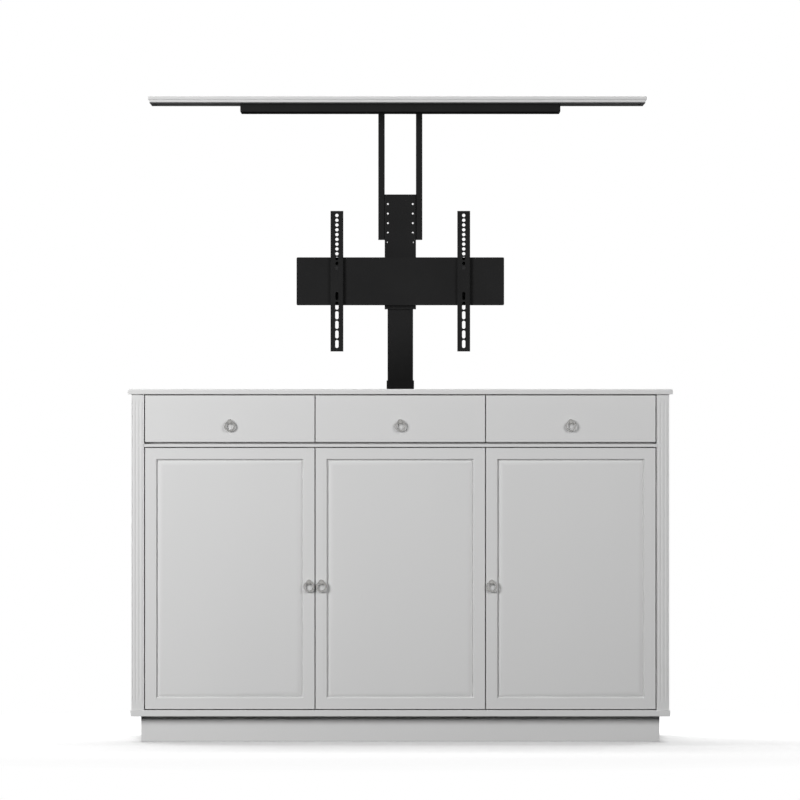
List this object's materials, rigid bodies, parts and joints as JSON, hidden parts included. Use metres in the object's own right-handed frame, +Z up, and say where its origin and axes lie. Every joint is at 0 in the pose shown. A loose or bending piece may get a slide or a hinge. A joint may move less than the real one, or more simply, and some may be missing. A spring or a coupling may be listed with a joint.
{
  "type": "tv lift cabinet",
  "caption": "Painted storage cabinet with drawers over panelled doors, and a telescopic screen lift that raises part of its top as a lid.",
  "frame": {"origin": "on the floor, under the middle of the cabinet, halfway between its front and back planes", "axes": "+X to the right seen from the front, +Y from the front to the back, +Z up"},
  "size_m": [1.68, 0.5753, 2.0001],
  "materials": {
    "white_paint": "satin white paint on board",
    "pale_board": "matt white melamine board",
    "black_metal": "fine textured black powder coat on steel",
    "bright_metal": "polished nickel",
    "zinc_metal": "zinc plated steel",
    "black_plastic": "matt moulded plastic"
  },
  "bodies": {
    "cabinet": {"plinth": "white_paint", "bottom_panel": "white_paint", "top_panel": "white_paint", "left_pilaster": "white_paint", "right_pilaster": "white_paint", "left_side_panel": "white_paint", "right_side_panel": "white_paint", "back_panel": "pale_board", "well_partition": "pale_board", "drawer_deck": "white_paint", "left_lower_divider": "pale_board", "right_lower_divider": "pale_board", "left_upper_divider": "pale_board", "right_upper_divider": "pale_board", "left_shelf": "pale_board", "middle_shelf": "pale_board", "right_shelf": "pale_board", "column_foot": "black_metal", "outer_tube": "black_metal", "drive_spindle": "zinc_metal", "gear_motor": "black_plastic", "control_box": "black_plastic"},
    "lift_middle": {"middle_tube": "black_metal"},
    "lift_top": {"inner_tube": "black_metal", "column_head": "black_metal", "mast_bracket": "black_metal", "crossbar": "black_metal", "left_screen_arm": "black_metal", "right_screen_arm": "black_metal", "left_lid_arm": "black_metal", "right_lid_arm": "black_metal", "lid_tray": "black_metal", "lid_panel": "white_paint"},
    "left_drawer": {"left_drawer_front": "white_paint", "left_drawer_box": "pale_board", "left_drawer_pull_post": "bright_metal"},
    "left_drawer_ring": {"left_drawer_pull_ring": "bright_metal"},
    "middle_drawer": {"middle_drawer_front": "white_paint", "middle_drawer_box": "pale_board", "middle_drawer_pull_post": "bright_metal"},
    "middle_drawer_ring": {"middle_drawer_pull_ring": "bright_metal"},
    "right_drawer": {"right_drawer_front": "white_paint", "right_drawer_box": "pale_board", "right_drawer_pull_post": "bright_metal"},
    "right_drawer_ring": {"right_drawer_pull_ring": "bright_metal"},
    "left_door": {"left_door": "white_paint", "left_door_lower_hinge": "zinc_metal", "left_door_upper_hinge": "zinc_metal", "left_door_pull_post": "bright_metal"},
    "left_door_ring": {"left_door_pull_ring": "bright_metal"},
    "middle_door": {"middle_door": "white_paint", "middle_door_lower_hinge": "zinc_metal", "middle_door_upper_hinge": "zinc_metal", "middle_door_pull_post": "bright_metal"},
    "middle_door_ring": {"middle_door_pull_ring": "bright_metal"},
    "right_door": {"right_door": "white_paint", "right_door_lower_hinge": "zinc_metal", "right_door_upper_hinge": "zinc_metal", "right_door_pull_post": "bright_metal"},
    "right_door_ring": {"right_door_pull_ring": "bright_metal"}
  },
  "joints": [
    {"name": "lift_lower", "type": "slide", "parent": "cabinet", "child": "lift_middle", "axis": [0, 0, 1], "range_m": [-0.45, 0]},
    {"name": "lift_upper", "type": "slide", "parent": "lift_middle", "child": "lift_top", "axis": [0, 0, 1], "range_m": [-0.45, 0]},
    {"name": "left_drawer_slide", "type": "slide", "parent": "cabinet", "child": "left_drawer", "axis": [0, -1, 0], "range_m": [0, 0.15]},
    {"name": "left_drawer_ring_swing", "type": "hinge", "parent": "left_drawer", "child": "left_drawer_ring", "pos_m": [-0.52567, -0.2885, 0.98705], "axis": [-1, 0, 0], "range_deg": [0, 80]},
    {"name": "middle_drawer_slide", "type": "slide", "parent": "cabinet", "child": "middle_drawer", "axis": [0, -1, 0], "range_m": [0, 0.15]},
    {"name": "middle_drawer_ring_swing", "type": "hinge", "parent": "middle_drawer", "child": "middle_drawer_ring", "pos_m": [0, -0.2885, 0.98705], "axis": [-1, 0, 0], "range_deg": [0, 80]},
    {"name": "right_drawer_slide", "type": "slide", "parent": "cabinet", "child": "right_drawer", "axis": [0, -1, 0], "range_m": [0, 0.15]},
    {"name": "right_drawer_ring_swing", "type": "hinge", "parent": "right_drawer", "child": "right_drawer_ring", "pos_m": [0.52567, -0.2885, 0.98705], "axis": [-1, 0, 0], "range_deg": [0, 80]},
    {"name": "left_door_hinge", "type": "hinge", "parent": "cabinet", "child": "left_door", "pos_m": [-0.7885, -0.28, 0.5], "axis": [0, 0, -1], "range_deg": [0, 95]},
    {"name": "left_door_ring_swing", "type": "hinge", "parent": "left_door", "child": "left_door_ring", "pos_m": [-0.28183, -0.2885, 0.4923], "axis": [-1, 0, 0], "range_deg": [0, 80]},
    {"name": "middle_door_hinge", "type": "hinge", "parent": "cabinet", "child": "middle_door", "pos_m": [0.26283, -0.28, 0.5], "axis": [0, 0, 1], "range_deg": [0, 90]},
    {"name": "middle_door_ring_swing", "type": "hinge", "parent": "middle_door", "child": "middle_door_ring", "pos_m": [-0.24383, -0.2885, 0.4923], "axis": [-1, 0, 0], "range_deg": [0, 80]},
    {"name": "right_door_hinge", "type": "hinge", "parent": "cabinet", "child": "right_door", "pos_m": [0.7885, -0.28, 0.5], "axis": [0, 0, 1], "range_deg": [0, 95]},
    {"name": "right_door_ring_swing", "type": "hinge", "parent": "right_door", "child": "right_door_ring", "pos_m": [0.28183, -0.2885, 0.4923], "axis": [-1, 0, 0], "range_deg": [0, 80]}
  ],
  "couplings": [
    {"joint": "lift_upper", "follows": "lift_lower", "ratio": 1}
  ]
}
